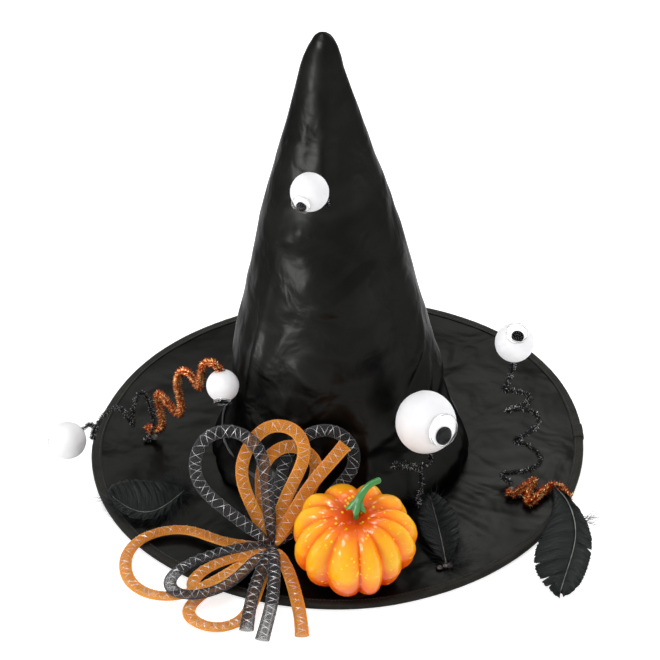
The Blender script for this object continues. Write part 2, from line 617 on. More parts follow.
def brim_wrinkles(turn, radius):
    """Shallow pleats that run out from the crown's seam and fade, and long soft pulls towards the edge."""
    dice = np.random.default_rng(DICE)
    total = np.zeros(np.broadcast(turn, radius).shape)
    angle = np.degrees(turn)
    for _ in range(46):
        at, lean, wide = dice.uniform(-180, 180), dice.uniform(-0.25, 0.25), dice.uniform(1.2, 3.4)
        reach, tall = dice.uniform(10, 44), dice.uniform(0.1, 0.42)
        total = total + tall * hill(apart(angle, at + lean * (radius - SEAM_RADIUS)) / wide) * \
            np.exp(-np.maximum(radius - SEAM_RADIUS, 0) / reach)
    for at, lean, wide, start, reach, tall in ((-24, 0.12, 3.0, 122, 34, 0.9), (-34, -0.06, 2.4, 116, 32, 0.8),
                                               (-14, 0.2, 4.0, 136, 32, 0.8), (-42, 0.05, 2.2, 124, 28, 0.7),
                                               (-52, -0.1, 3.0, 142, 30, 0.6), (-19, 0.0, 2.4, 150, 22, 0.6),
                                               (-29, 0.0, 1.8, 140, 40, 0.8), (-38, 0.1, 2.0, 148, 30, 0.7),
                                               (-47, 0.0, 2.0, 134, 36, 0.7), (168, 0.1, 4.0, 140, 32, 0.3),
                                               (28, -0.1, 5.0, 140, 36, 0.3), (-160, 0.1, 3.5, 150, 24, 0.3),
                                               (60, 0.1, 5.0, 140, 36, 0.25), (110, -0.1, 5.0, 140, 36, 0.25)):
        total = total + tall * hill(apart(angle, at + lean * (radius - start)) / wide) * \
            hill((radius - start) / reach)
    return total * np.clip((BRIM_RADIUS - 9 - radius) / 12, 0, 1)


def build_brim():
    """The brim's three layers, its wire, and the seam allowance under the crown's foot."""
    inset, foot = BRIM_RADIUS - 4.0, box("brim_under_satin")[0][2]
    hole = box("sweatband")[1][0] + 0.3
    spread = np.linspace(hole, inset, 56)
    both = np.concatenate([np.ones(len(spread)), np.zeros(len(spread))])
    top = cloth_ring(spread, BRIM_TOP - 0.4, BRIM_TOP,
                     lambda turn, out: (brim_wrinkles(turn, out) + 0.12) * (0.4 + 0.6 * both))
    make_piece("brim_top_cloth", [top], [FINISH["brim_satin"]], "hat", ("brim_top_satin",))
    under = cloth_ring(spread, foot, foot + 0.4,
                       lambda turn, out: 0.35 * brim_wrinkles(turn + 1.0, out) * (0.3 + 0.7 * both) + 0.02)
    make_piece("brim_under_cloth", [under], [FINISH["brim_satin"]], "hat", ("brim_under_satin",))
    middle_radii = np.linspace(hole + 0.2, inset - 0.4, 20)
    core = cloth_ring(middle_radii, foot + 0.55, BRIM_TOP - 0.6)
    make_piece("brim_foam_sheet", [core], [FINISH["foam_sheet"]], "hat", ("brim_foam_core",))
    ring = np.linspace(0, 2 * math.pi, 12, endpoint=False)
    turn = np.linspace(0, 2 * math.pi, 400, endpoint=False)[:, None]
    low, high = box("brim_edge_wire")
    wire = brim_spot(turn, (high[0] - 0.9) + 0.8 * np.cos(ring)[None], (low[2] + high[2]) / 2
                     + 0.8 * np.sin(ring)[None])
    make_piece("brim_wire_ring", [patch(wire, along=True)], [FINISH["wire"]], "hat", ("brim_edge_wire",))
    allowance = cloth_ring(np.linspace(SEAM_RADIUS - 4.6, SEAM_RADIUS - 1.2, 6), BRIM_TOP + 0.35, BRIM_TOP + 2.2)
    make_piece("seam_allowance", [allowance], [FINISH["satin"]], "hat", ("crown_brim_seam",))


TAPE_SHAPE = ((-7.6, 3.95), (-7.4, 4.25), (-6.6, 4.2), (-6.0, 4.12), (-5.0, 4.5), (-3.6, 4.72), (-2.2, 4.6),
              (-0.9, 4.05), (-0.2, 3.1), (0.0, 2.1), (-0.25, 1.1), (-1.0, 0.35), (-2.4, 0.02), (-4.4, 0.0),
              (-6.4, 0.0), (-7.6, 0.02), (-7.6, 0.5), (-4.0, 0.55), (-1.6, 0.7), (-0.75, 2.1), (-1.6, 3.45),
              (-4.0, 3.75), (-7.4, 3.6))


def tape_points(turn, grow=0.0):
    """The tape's section carried round the edge, with small puckers beside the stitches."""
    reach = np.array([place[0] for place in TAPE_SHAPE])[None]
    height = np.array([place[1] for place in TAPE_SHAPE])[None]
    arc = turn * BRIM_RADIUS
    pucker = 0.16 * np.sin(arc / 1.9 + 2 * np.sin(arc / 23)) + 0.2 * np.sin(arc / 6.1 + 1.5 * np.sin(arc / 41))
    upper = hill((reach + 4.6) / 2.6) * (height > 2)
    rim = hill(reach / 3.0)
    waver = 0.5 * np.sin(arc / 13.7) + 0.4 * np.sin(arc / 31.0 + 1)
    inner = hill((reach + 7.6) / 1.2)
    out = BRIM_RADIUS + reach + rim * (0.12 * pucker + grow) - inner * 0.5 * waver
    lift = upper * pucker + grow * np.where(height > 2, 1.0, 0.0)
    return brim_spot(turn, out, np.broadcast_to(height + lift, np.broadcast(turn, height).shape))


def build_binding():
    """Bias tape folded over the edge, the lap where its ends meet, and the row of stitches near its inner edge."""
    turn = np.linspace(0, 2 * math.pi, 900, endpoint=False)[:, None]
    arc = np.repeat(turn * BRIM_RADIUS, len(TAPE_SHAPE), axis=1)
    tape = patch(tape_points(turn), along=True)
    piece = make_piece("binding_tape", [tape], [FINISH["tape"]], "hat", ("brim_binding",),
                       marks={"around": arc})
    low, high = box("brim_binding_lap")
    start, end = (math.atan2(edge, BRIM_RADIUS) for edge in (low[1], high[1]))
    short = np.linspace(start, end, 26)[:, None]
    shown = tape_points(short, 0.65)
    lap = patch(shown, first=True, last=True)
    marks = np.concatenate([np.repeat(short * BRIM_RADIUS, len(TAPE_SHAPE), axis=1).ravel(), [0, 0]])
    piece = make_piece("binding_lap", [lap], [FINISH["tape"]], "hat", ("brim_binding_lap",),
                       marks={"around": marks})
    stitches(BRIM_RADIUS - 6.25, BRIM_TOP + 0.85, int(2 * math.pi * BRIM_RADIUS / (MM * sizes().stitch_spacing)))


def stitches(radius, height, count):
    """Short thread stitches, each a six-sided spindle sunk at both ends, one after another round the brim."""
    at = np.linspace(0, 2 * math.pi, count, endpoint=False)
    here = brim_spot(at[:, None], np.full((count, 1), radius), np.full((count, 1), height))[:, 0]
    along = np.stack([-np.sin(at), np.cos(at), np.zeros(count)], axis=1)
    out = np.stack([np.cos(at), np.sin(at), np.zeros(count)], axis=1)
    frames = np.stack([along, out, np.broadcast_to(UP, along.shape)], axis=1)
    ring = np.linspace(0, 2 * math.pi, 6, endpoint=False)
    rows = [(-1.0, 0.10, -0.25), (-0.6, 0.24, 0.0), (0.6, 0.24, 0.0), (1.0, 0.10, -0.25)]
    shape = np.array([[(x, size * math.cos(a), drop + size * math.sin(a)) for a in ring] for x, size, drop in rows])
    spots, quads, fans = patch(shape, first=True, last=True)
    halves = np.vstack([quads[:, (0, 1, 2)], quads[:, (0, 2, 3)], fans])
    row = repeated(spots, halves.tolist(), here, frames)
    make_piece("binding_stitches", [row], [FINISH["thread"]], "hat")


# ---------------------------------------------------------------- the crown

CROWN_LINE = ((0.0, 97.0), (6.0, 95.0), (14.0, 91.0), (26.0, 86.0), (40.0, 83.4), (58.0, 81.0), (82.0, 77.2),
              (96.0, 74.4), (115.0, 70.6), (143.0, 63.8), (179.0, 55.0), (214.0, 46.2), (249.0, 36.6),
              (282.0, 26.8), (298.0, 22.2), (314.0, 17.8), (330.0, 13.6), (338.0, 10.6), (345.0, 6.8), (349.5, 3.4))
# turn (degrees), height, width (degrees), height of its bulge, rise: the slack rolls and pinches over the foot
CROWN_ROLLS = ((-32, 17, 27, 15, 9.0), (-12, 50, 17, 11, -7.0), (-10, 76, 20, 14, 2.4), (-146, 4, 22, 12, 5.5),
               (176, 26, 16, 12, -3.0), (168, 10, 20, 12, 3.0))
# turn (degrees), height, length, lean (degrees from level), width, rise; a negative rise is a dent
CROWN_FOLDS = (
    (-74, 186, 34, 38, 5.0, -2.2), (-70, 178, 40, 30, 6.0, 1.4), (-62, 196, 26, 60, 5.0, 0.9),
    (-96, 212, 26, -20, 6.0, 1.1), (-108, 200, 30, 15, 5.0, -1.0), (-118, 214, 34, 35, 6.0, 1.2),
    (-128, 196, 30, -30, 6.0, -1.0), (-84, 226, 28, 10, 6.0, -1.1), (-72, 262, 60, 82, 6.5, -1.7),
    (-58, 266, 60, 84, 6.0, 1.2), (-92, 280, 70, 86, 8.0, 1.2), (-112, 262, 50, 78, 6.0, -0.8),
    (-100, 158, 34, 12, 7.0, 1.2), (-80, 150, 30, -24, 6.0, -1.2), (-64, 140, 34, 22, 7.0, 1.3),
    (-118, 148, 40, 40, 7.0, -1.2), (-92, 128, 36, -8, 7.0, 1.2), (-128, 120, 44, 70, 6.0, 1.2),
    (-76, 108, 30, 30, 7.0, -1.3), (-104, 104, 34, -35, 7.0, 1.2), (-52, 112, 40, 48, 6.0, -1.3),
    (-144, 88, 96, 86, 5.0, 3.0), (-153, 90, 90, 86, 5.0, -1.2), (-158, 60, 60, 80, 5.0, 1.2),
    (-30, 108, 42, 26, 5.0, 1.6), (-26, 98, 40, 20, 5.0, -1.6), (-18, 122, 30, 60, 5.0, 1.1),
    (-42, 92, 46, 42, 5.0, 1.8), (-48, 82, 46, 40, 5.0, -1.8), (-36, 74, 44, 30, 5.0, 1.8),
    (-20, 82, 36, 48, 5.0, -1.8), (-58, 64, 46, 34, 6.0, 1.8), (-66, 52, 40, 28, 5.0, -1.6),
    (-112, 62, 40, 60, 6.0, 1.4), (-122, 52, 40, 70, 5.0, -1.4), (-98, 44, 34, 80, 6.0, 1.4),
    (-86, 58, 34, -60, 6.0, -1.4), (-134, 40, 30, 60, 5.0, 1.5), (-76, 36, 34, 84, 5.0, 1.5))


def along_surface(turn, height, fold):
    """A long fold's share at each point: a ridge across the line through its middle, fading at its ends."""
    at, level, long, lean, wide, _ = fold
    around = np.radians(apart(np.degrees(turn), at)) * np.interp(level, *zip(*CROWN_LINE))
    rise = height - level
    cos, sin = math.cos(math.radians(lean)), math.sin(math.radians(lean))
    return hill((rise * cos - around * sin) / wide) * hill((around * cos + rise * sin) / (0.62 * long))


def crown_radius(turn, height):
    """The crown's radius: a near-straight cone that flares at its foot, plus pinches, gathers, folds and ripples."""
    radius = np.interp(height, *zip(*CROWN_LINE))
    angle = np.degrees(turn)
    side = np.cos(turn)
    radius = radius + side * np.interp(height, (0, 20, 40, 60, 90, 120, 160), (0, 2.0, 2.6, 1.6, -1.4, -1.2, 0.0))
    for turned, level, wide, tall, rise in CROWN_ROLLS:
        radius = radius + rise * hill((height - level) / tall) * hill(apart(angle, turned) / wide)
    dice, strength = np.random.default_rng(DICE + 1), sizes().crown_folds
    for _ in range(44):
        at, wide, reach = dice.uniform(-180, 180), dice.uniform(2.0, 4.5), dice.uniform(12, 38)
        lean, tall = dice.uniform(-0.3, 0.3), dice.uniform(-1.5, 1.7)
        radius = radius + strength * tall * hill(apart(angle, at + lean * height) / wide) * hill(height / reach)
    radius = radius + side * np.interp(height, (130, 160, 200, 240), (0, -0.4, -0.9, 0)) * (side < 0)
    for fold in CROWN_FOLDS:
        radius = radius + strength * fold[5] * along_surface(turn, height, fold)
    for _ in range(34):
        fold = (dice.uniform(-180, 180), 320 * dice.uniform(0.04, 1.0) ** 1.3, dice.uniform(16, 46),
                dice.uniform(-80, 80), dice.uniform(4.0, 8.0), 0.0)
        radius = radius + dice.uniform(-0.5, 0.5) * along_surface(turn, height, fold)
    base = np.stack([radius * np.cos(turn), radius * np.sin(turn), height * np.ones_like(turn)], axis=-1)
    calm = np.clip((CROWN_TOP - height) / 90, 0.25, 1)
    radius = radius + calm * (0.55 * ripple(base, 90, DICE + 2) + 0.22 * ripple(base, 44, DICE + 3))
    seam = hill((angle - 90) * np.radians(1) * radius / 1.6)
    return radius - 0.7 * seam


def crown_shell(inwards, thick, rows, columns, foot):
    """The crown's wall: down its outer face from a closed tip, round the foot and up the inner face."""
    turn = np.linspace(0, 2 * math.pi, columns, endpoint=False)[None]
    spread = np.linspace(0, 1, rows)[:, None]
    rise = (CROWN_TOP - BRIM_TOP) * (1 - spread ** 1.08)
    height = np.minimum(rise, 349.5)
    radius = crown_radius(turn, height * np.ones_like(turn))
    tip = np.clip((rise - 345.5) / 4.0, 0, 1)
    radius = radius * np.sqrt(np.maximum(1 - tip ** 2, 0.0)) + 0.02
    walls = []
    for depth in (inwards, inwards + thick):
        fade = np.clip(radius / 6.0, 0, 1)
        wall = radius - depth * fade
        z = rise - depth * (1 - fade) + foot
        lean = TIP_X * np.clip(rise / CROWN_TOP, 0, 1) + 2.0 * np.clip((rise - 322) / 20, 0, 1)
        walls.append(np.stack([wall * np.cos(turn) + lean, wall * np.sin(turn), BRIM_TOP + z * np.ones_like(turn)],
                              axis=-1))
    return patch(np.concatenate([walls[0], walls[1][::-1]]), first=True, last=True)


def build_crown():
    """The satin cone, the stiffener that lines it and the turned seam up its back."""
    satin = make_piece("crown_satin_cloth", [crown_shell(0.0, 0.4, 150, 320, 0.0)], [FINISH["satin"]], "hat",
                       ("crown_satin",))
    lining = make_piece("crown_lining", [crown_shell(0.75, 0.8, 110, 180, 0.0)], [FINISH["interlining"]], "hat",
                        ("crown_interlining",))
    height = np.linspace(16, 300, 90)
    back = np.full_like(height, math.pi / 2)
    radius = crown_radius(back, height) - 2.6
    line = np.stack([TIP_X * height / CROWN_TOP, radius, height + BRIM_TOP], axis=1)
    _, side, out = directions(line, np.array((0.0, 1.0, 0.3)))
    across = np.array([(-1, 0.0), (-0.5, 0.18), (0, 0.3), (0.5, 0.18), (1, 0.0), (0.5, -0.35), (0, -0.42),
                       (-0.5, -0.35)])
    taper = np.interp(height, (16, 300), (7.0, 3.0))[:, None, None]
    strip = line[:, None] + taper * across[None, :, :1] * side[:, None] + across[None, :, 1:] * out[:, None]
    make_piece("crown_back_fold", [patch(strip, first=True, last=True)], [FINISH["interlining"]], "hat",
               ("crown_back_seam",))


def build_sweatband():
    """A ribbed band round the inside of the opening, a little wavy, with its edges turned."""
    low, high = box("sweatband")
    radius, rise = high[0], high[2] - low[2]
    turn = np.linspace(0, 2 * math.pi, 420, endpoint=False)[:, None]
    level = np.linspace(0, 1, 14)
    shape = [(0.0, level[0]), *[(0.12 * math.sin(9 * l), l) for l in level], *[(-0.95, l) for l in level[::-1]]]
    out = np.array([place[0] for place in shape])[None]
    share = np.array([place[1] for place in shape])[None]
    sway = 0.3 * np.sin(7 * turn) + 0.22 * np.sin(13 * turn + 1)
    reach = radius - 0.55 + out + sway * share
    points = np.stack([reach * np.cos(turn), reach * np.sin(turn),
                       low[2] + rise * share + 0.25 * np.sin(5 * turn) * share], axis=-1)
    band = make_piece("sweatband_strip", [patch(points, along=True)], [FINISH["band"]], "hat", ("sweatband",))


# ---------------------------------------------------------------- pumpkin

TILT = math.radians(17.0)


def pumpkin_frame():
    """The pumpkin's middle and its three directions: right, up the slope and along its stem."""
    low, high = box("pumpkin_shell")
    ways = np.array(((1.0, 0.0, 0.0), (0.0, math.cos(TILT), math.sin(TILT)), (0.0, -math.sin(TILT), math.cos(TILT))))
    return (low + high) / 2, ways, (high[0] - low[0]) / 2


def build_pumpkin():
    """A squat globe of soft uneven lobes, with a funnel at the top, tipped to the front on its own axis.

    Its outline is a rounded box of the radius and the height, fuller above than below; each lobe bulges by a tenth
    of the radius between shallow valleys that fade out in the funnel.
    """
    centre, ways, radius = pumpkin_frame()
    tall, lobes = MM / 2 * sizes().pumpkin_height, sizes().pumpkin_lobes
    around = np.linspace(0, 2 * math.pi, 560, endpoint=False)[None]
    down = np.linspace(0.004, math.pi - 0.004, 176)[:, None]
    drift = 0.09 * np.sin(around + 1.0) + 0.06 * np.sin(2 * around + 0.4) + 0.035 * np.sin(5 * around)
    phase = (lobes * (around + drift) / 2) % math.pi
    crease = np.exp(-np.minimum(phase, math.pi - phase) / 0.42)
    belly = np.sin(phase) ** 0.95
    top = np.cos(down)
    size = 1 + 0.020 * np.sin(3 * around + 0.7) + 0.014 * np.sin(5 * around + 2.0)
    outline = np.abs(np.sin(down)) ** np.where(top > 0, 0.74, 0.82)
    fade = np.where(top > 0, np.clip((outline - 0.22) / 0.62, 0, 1), np.clip(outline, 0, 1) ** 1.1)
    reach = radius * outline * (1 - 0.105 * fade * (1 - belly) - 0.018 * fade * crease) * size
    round_top = np.sign(top) * np.abs(top) ** 0.86
    dimple = np.sign(top) * np.where(top > 0, 8.5, 7.0) * hill(outline * radius / 13.0)
    height = tall * round_top * (1 - 0.12 * (1 - belly) * fade) - dimple
    points = np.stack([reach * np.cos(around), reach * np.sin(around), height + 0 * around], axis=-1)
    points += 0.3 * ripple(points, 30, DICE + 10)[..., None] * unit(points)
    low = box("pumpkin_shell")[0]
    points[..., 0] *= MM * sizes().pumpkin_width / np.ptp(points[..., 0])
    points[..., 1] *= 2 * radius / np.ptp(points[..., 1])
    placed = points @ ways
    lowest, highest = placed.min(axis=(0, 1)), placed.max(axis=(0, 1))
    placed += np.array((centre[0], centre[1], 0)) - (lowest + highest) / 2 * (1, 1, 0)
    placed[..., 2] += low[2] - lowest[2]
    stain = 0.34 * crease * fade + 1.2 * np.clip(0.16 - top, 0, 1) + 0.85 * hill(outline * radius / 17.0) * (top > 0)
    marks = np.concatenate([np.clip(stain, 0, 1).ravel(), [0.9, 0.9]])
    make_piece("pumpkin_globe", [patch(placed, first=True, last=True)], [FINISH["pumpkin"]], "hat",
               ("pumpkin_shell",), marks={"valley": marks})


def build_stem():
    """A peg that leans out of the funnel into a jagged calyx, and a neck that thins and bends to a round tip."""
    centre, ways, _ = pumpkin_frame()
    peg = [centre + np.array(step) @ ways for step in ((0, -0.5, 17), (0, 0, 22), (0, 2.2, 28), (0.4, 4.6, 33))]
    bend = [centre + np.array(step) @ ways for step in (
        (0.3, 4.4, 32.6), (0.9, 5.2, 36), (2.2, 6.8, 40), (4.6, 9.4, 43.5), (8.2, 12.8, 46), (12.5, 15.2, 47.3),
        (17.0, 16.4, 47.8))]
    line = spline(bend, 110)
    share = np.linspace(0, 1, 110)
    girth = np.interp(share, (0, 0.02, 0.10, 0.20, 0.36, 0.60, 0.86, 0.93, 0.975, 1.0),
                      (5.6, 6.3, 4.6, 3.3, 2.7, 2.3, 2.15, 2.3, 1.9, 0.8))
    turn = np.linspace(0, 2 * math.pi, 90, endpoint=False)
    teeth = np.abs((5 * turn / math.pi + 0.3) % 2 - 1)[None]
    flare = np.interp(share, (0, 0.08, 0.2, 0.5, 1), (1, 0.7, 0.3, 0.12, 0.08))[:, None]
    ring = girth[:, None] * (1 + 0.26 * flare * (2 * teeth - 1))
    along, side, out = directions(line, ways[1])
    points = line[:, None] + ring[..., None] * (np.cos(turn)[None, :, None] * side[:, None]
                                                + np.sin(turn)[None, :, None] * out[:, None])
    points = points - (hill(share / 0.10)[:, None] * teeth * 2.2)[..., None] * along[:, None]
    marks = np.concatenate([(flare * teeth + 0.5 * (1 - flare) + 0 * ring).ravel(), [0.2, 0.9]])
    rod = tube(spline(peg, 24), ways[1], 1.75, 20)
    marks = np.concatenate([marks, np.full(len(rod[0]), 0.5)])
    make_piece("pumpkin_stalk", [patch(points, first=True, last=True), rod], [FINISH["stem"]], "hat",
               ("pumpkin_stem",), marks={"flute": marks})


# ---------------------------------------------------------------- bow

KNOT = middle("bow_tie") + np.array((0.0, 0.0, 2.0))
RISING = unit(np.array((0.0, -0.817, 0.576)))
# name, node, colour, how it faces, its line from the knot round to the knot or to its open end
BOW_LINES = (
    ("black_upper_left", "black", RISING, ((-53, -144, 25), (-76, -134, 39), (-99, -124, 54), (-105, -115, 67),
     (-102, -106, 79), (-93, -101, 88), (-78, -99, 90), (-65, -102, 85), (-56, -108, 76), (-53, -119, 60),
     (-51, -133, 42)), True, 3.0),
    ("orange_upper", "orange", RISING, ((-55, -136, 28), (-70, -117, 50), (-72, -107, 64), (-65, -98, 78),
     (-54, -92, 87), (-42, -91, 88), (-31, -93, 84), (-25, -100, 74), (-28, -108, 63), (-38, -118, 48),
     (-45, -130, 33)), True, 6.0),
    ("orange_upper_back", "orange", RISING, ((-52, -134, 28), (-57, -116, 41), (-58, -104, 55), (-52, -97, 65),
     (-40, -93, 71), (-29, -94, 70), (-18, -98, 62), (-17, -104, 55), (-22, -113, 44), (-36, -130, 28)), True, -1.0),
    ("black_upper_right", "black", RISING, ((-46, -118, 38), (-42, -97, 57), (-36, -91, 67), (-24, -85, 75),
     (-11, -83, 78), (1, -85, 75), (10, -91, 67), (10, -99, 55), (1, -106, 46), (-24, -126, 28)), True, -4.0),
    ("orange_left", "orange", UP, ((-56, -136, 14), (-84, -131, 10), (-106, -114, 9), (-126, -113, 9),
     (-146, -123, 9), (-155, -141, 9), (-153, -164, 9), (-142, -179, 9), (-126, -186, 9), (-106, -183, 9),
     (-82, -164, 10), (-60, -146, 13)), True, 0.0),
    ("black_left", "black", UP, ((-61, -139, 17), (-88, -144, 14), (-110, -155, 12.5), (-122, -170, 12.5),
     (-119, -183, 12.5), (-106, -189, 12.5), (-86, -183, 12.5), (-71, -168, 13), (-60, -151, 15)), True, 0.0),
    ("orange_inner", "orange", UP, ((-62, -145, 15), (-88, -152, 12), (-103, -164, 10), (-106, -177, 10),
     (-95, -183, 10), (-78, -172, 11), (-62, -152, 13)), True, 0.0),
    ("orange_lower", "orange", UP, ((-62, -150, 11), (-84, -168, 8), (-104, -186, 6.4), (-108, -200, 6),
     (-98, -210, 6), (-85, -214, 6), (-72, -209, 6), (-64, -198, 6), (-59, -177, 8), (-53, -154, 12)), True, 0.0),
    ("tail_orange_upper", "orange", RISING, ((-38, -131, 31), (-24, -117, 51), (-8, -107, 66), (3, -100, 77)), False,
     5.0),
    ("tail_black_short", "black", UP, ((-51, -150, 17), (-57, -166, 15), (-62, -188, 13), (-64, -206, 11.5),
     (-65, -220, 10.5)), False, 0.0),
    ("tail_black_long", "black", UP, ((-48, -150, 18), (-47, -168, 17.5), (-47, -192, 15.5), (-51, -215, 13),
     (-54, -230, 11)), False, 0.0),
    ("tail_orange_lower", "orange", UP, ((-44, -148, 15), (-37, -162, 13), (-32, -184, 10.5), (-28, -204, 8),
     (-27, -222, 7)), False, 0.0),
)


def tube_width(share, closed):
    """Half the tube's width along it: a third at the knot, full a tenth of the way on, a little flared when open."""
    end = share if not closed else np.minimum(share, 1 - share)
    pinch = 0.30 + 0.70 * np.clip(end / 0.11, 0, 1) ** 0.7
    return MM / 2 * sizes().tube_width * pinch * (1 + (0.0 if closed else 0.10) * share ** 8)


def flattened(line, facing, width, turn, puff):
    """Points on a flattened tube: an ellipse of half that width, and a third as thick, at each turn."""
    _, side, out = directions(line, facing)
    return line + (width * np.cos(turn))[:, None] * side + (width * puff * np.sin(turn))[:, None] * out


def strands(line, facing, width, lanes, pitch, size, puff):
    """The net: lanes of thread wound each way round the tube, each a three-sided thread."""
    count = len(line)
    run = np.linspace(0, length_of(line), count)
    corner = np.linspace(0, 2 * math.pi, 3, endpoint=False)
    _, side, out = directions(line, facing)
    threads = []
    for hand in (1, -1):
        for lane in range(lanes):
            turn = 2 * math.pi * (lane / lanes + hand * run / pitch)
            swell = 1 + 0.012 * hand
            axis = flattened(line, facing, width * swell, turn, puff)
            ring = axis[:, None] + size * (np.cos(corner)[None, :, None] * side[:, None]
                                           + np.sin(corner)[None, :, None] * out[:, None])
            threads.append(patch(ring, first=True, last=True))
    return merged(threads)


def merged(patches):
    """Many patches as one, so that one mesh holds them."""
    corners, quads, fans, start = [], [], [], 0
    for spots, four, three in patches:
        corners.append(spots)
        quads.append(four + start)
        fans.append(three + start)
        start += len(spots)
    return np.vstack(corners), np.vstack(quads), np.vstack(fans)


def zigzag(line, facing, width, pitch, puff, seed):
    """Silver thread caught in the net: two lengths swing from edge to edge over the front and cross, thick where they
    show, with a glint at each crossing."""
    count = len(line)
    run = np.linspace(0, length_of(line), count)
    dice = np.random.default_rng(seed)
    threads = []
    for start in (0.0, 0.5):
        sway = 0.10 * np.sin(run / 9 + dice.uniform(0, 6)) + 0.06 * np.sin(run / 3.7 + dice.uniform(0, 6))
        wave = 2 * np.abs(((run / pitch + start + sway) % 1) * 2 - 1) - 1
        turn = math.pi / 2 + wave * 1.30
        axis = flattened(line, facing, width * 1.10, turn, puff * 1.12)
        shown = hill(wave / 0.30) + 0.35 * hill((np.abs(wave) - 1) / 0.2)
        threads.append(tube(axis, facing, 0.025 + 0.24 * shown * dice.uniform(0.3, 1.0, count), 4))
    turns = np.nonzero(np.diff(np.sign(wave)) != 0)[0]
    knots = axis[turns + 1]
    frames = np.broadcast_to(np.eye(3), (len(knots), 3, 3)) * dice.uniform(0.3, 0.6, (len(knots), 1, 1))
    gem = np.array(((1, 0, 0), (-1, 0, 0), (0, 1, 0), (0, -1, 0), (0, 0, 1), (0, 0, -1)), float)
    sides = ((0, 2, 4), (2, 1, 4), (1, 3, 4), (3, 0, 4), (2, 0, 5), (1, 2, 5), (3, 1, 5), (0, 3, 5))
    threads.append(repeated(gem, sides, knots, frames))
    return merged(threads)


def build_bow():
    """Twelve lengths of flat mesh tube, looped or open, all pinched at the knot, each with its silver thread."""
    for number, (name, colour, facing, points, closed, forward) in enumerate(BOW_LINES):
        facing = np.asarray(facing)
        ends = [KNOT, *points, KNOT] if closed else [KNOT, *points]
        line = spline(ends, 132)
        share = np.linspace(0, 1, len(line))
        width = tube_width(share, closed)
        body = np.clip(np.minimum(share, (1 - share) if closed else 1) / 0.2, 0, 1)[:, None]
        line = line + RISING * 0.3 * forward * body * (facing[2] < 0.9)
        net = strands(line, facing, width, 24, 21.0, 0.18 if colour == "orange" else 0.14, 0.34)
        silver = zigzag(line, facing, width, MM * sizes().silver_pitch, 0.34, DICE + number)
        turn = np.linspace(0, 2 * math.pi, 20, endpoint=False)
        inner = np.stack([flattened(line, facing, width * 0.93, np.full(len(line), angle), 0.32) for angle in turn],
                         axis=1)
        sheer = patch(inner, first=True, last=True)
        node = "bow_" + name if name.startswith("tail") else "bow_loop_" + name
        make_piece("mesh_tube_" + name, [net, silver, sheer],
                   [FINISH["mesh_" + colour], FINISH["silver"], FINISH["sheer_" + colour]], "hat",
                   (node,), which=[0, 1, 2])


def build_knot():
    """Turns of thread wound round the pinched tubes, and the blob of glue that holds them to the brim."""
    turn = np.linspace(0, 2 * math.pi * 9, 420)
    wide = 3.9 + 0.5 * np.sin(turn * 0.37)
    line = KNOT + np.stack([wide * np.cos(turn), 1.9 * np.sin(turn * 0.211 + 0.4) - 0.5,
                            2.9 * np.sin(turn)], axis=1)
    thread = tube(line, np.array((0.1, 1.0, 0.2)), 0.42, 6)
    around = np.linspace(0, 2 * math.pi, 40, endpoint=False)[None]
    down = np.linspace(0.02, math.pi - 0.02, 24)[:, None]
    core = np.stack([3.6 * np.sin(down) * np.cos(around), 2.7 * np.sin(down) * np.sin(around),
                     2.7 * np.cos(down) * np.ones_like(around)], axis=-1)
    core = core * (1 + 0.08 * np.sin(7 * around) * np.sin(down))[..., None] + KNOT
    make_piece("knot_thread", [thread, patch(core, first=True, last=True)], [FINISH["thread"]], "hat",
               ("bow_tie",))


# ---------------------------------------------------------------- eyes

# ball radius, lens radius, the way the lens looks
EYE_SHAPES = {"crown": (13.0, 6.5, (-0.43, -0.88, -0.20)), "left": (12.0, 6.7, (0.0, -0.75, -0.66)),
              "far_left": (14.0, 6.7, (-0.70, 0.50, -0.51)), "right": (14.0, 8.0, (0.06, -0.40, 0.91)),
              "front": (22.0, 12.0, (0.57, -0.78, 0.26))}


def eye_centre(eye):
    """The ball's centre: a radius in from each side of its box that the lens does not look at."""
    radius, _, aim = EYE_SHAPES[eye]
    low, high = box("eye_ball_" + eye)
    return np.where(np.array(aim) > 0, low + radius, high - radius)


def build_eyes():
    """Pressed-foam balls, a little egg-shaped, each with the flat its lens is glued to; discs, domes and pupils."""
    for number, eye in enumerate(EYES):
        radius, lens, aim = EYE_SHAPES[eye]
        aim = unit(np.array(aim))
        side = unit(np.cross(aim, (0.13, 0.2, 0.97)))
        ways = np.stack([side, np.cross(aim, side), aim])
        around = np.linspace(0, 2 * math.pi, 96, endpoint=False)[None]
        down = np.linspace(0.01, math.pi - 0.01, 72)[:, None]
        flat = math.sqrt(radius ** 2 - lens ** 2)
        ball = np.stack([np.sin(down) * np.cos(around), np.sin(down) * np.sin(around),
                         np.cos(down) * np.ones_like(around)], axis=-1) @ ways
        back = np.clip(-(ball @ aim) + 0.9, 0, 1)[..., None]
        egg = 1.0 + (0.055 if eye == "front" else 0.02) * back * (np.abs(ball[..., 2:]) ** 2) \
            - (0.03 if eye == "front" else 0.0) * back * (1 - np.abs(ball[..., 2:]) ** 2)
        dents = 1 + 0.006 * ripple(ball * radius, radius * 0.9, DICE + 60 + number)[..., None] * back
        shape = ball * radius * egg * dents
        over = np.maximum(shape @ aim - (flat - 0.05), 0)[..., None]
        shape = shape - over * aim + eye_centre(eye)
        make_piece("foam_ball_" + eye, [patch(shape, first=True, last=True)], [FINISH["ball"]], "eye_" + eye,
                   ("eye_ball_" + eye,))
        for part, look in (("back", "disc"), ("dome", "dome"), ("pupil", "pupil")):
            for slot in bpy.data.objects["eye_%s_%s" % (part, eye)].material_slots:
                slot.material = FINISH[look]


# ---------------------------------------------------------------- tinsel

